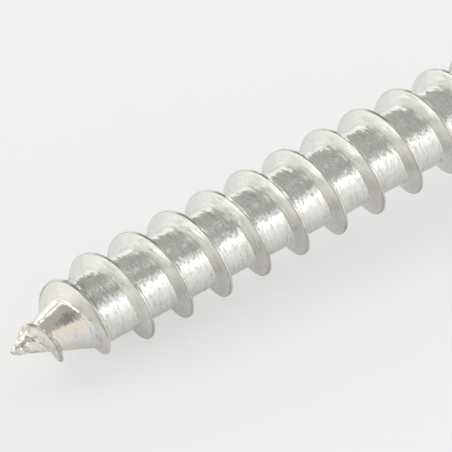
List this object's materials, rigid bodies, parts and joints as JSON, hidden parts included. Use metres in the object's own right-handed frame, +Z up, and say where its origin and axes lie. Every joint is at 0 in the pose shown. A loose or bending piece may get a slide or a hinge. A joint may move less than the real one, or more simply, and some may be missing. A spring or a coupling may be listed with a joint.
{
  "type": "round head wood screw",
  "caption": "Slotted round head wood screw with a domed head, a plain shank, a coarse right-hand thread and a tapered point, for fastening fittings to timber.",
  "frame": {"origin": "on the surface that the lying screw rests on, under the middle of its bounding box", "axes": "+Z up, +X from the point towards the head, +Y to the left seen from the point; the axis rises towards the head by 3.40 degrees, because the screw lies on the rim of its head and on a crest near its point"},
  "size_m": [0.0428, 0.008, 0.008],
  "materials": {
    "plated_steel": "bright zinc plate: glossy roots with fine turning marks, satin flanks"
  },
  "bodies": {
    "root": {"screw": "plated_steel"}
  },
  "joints": []
}
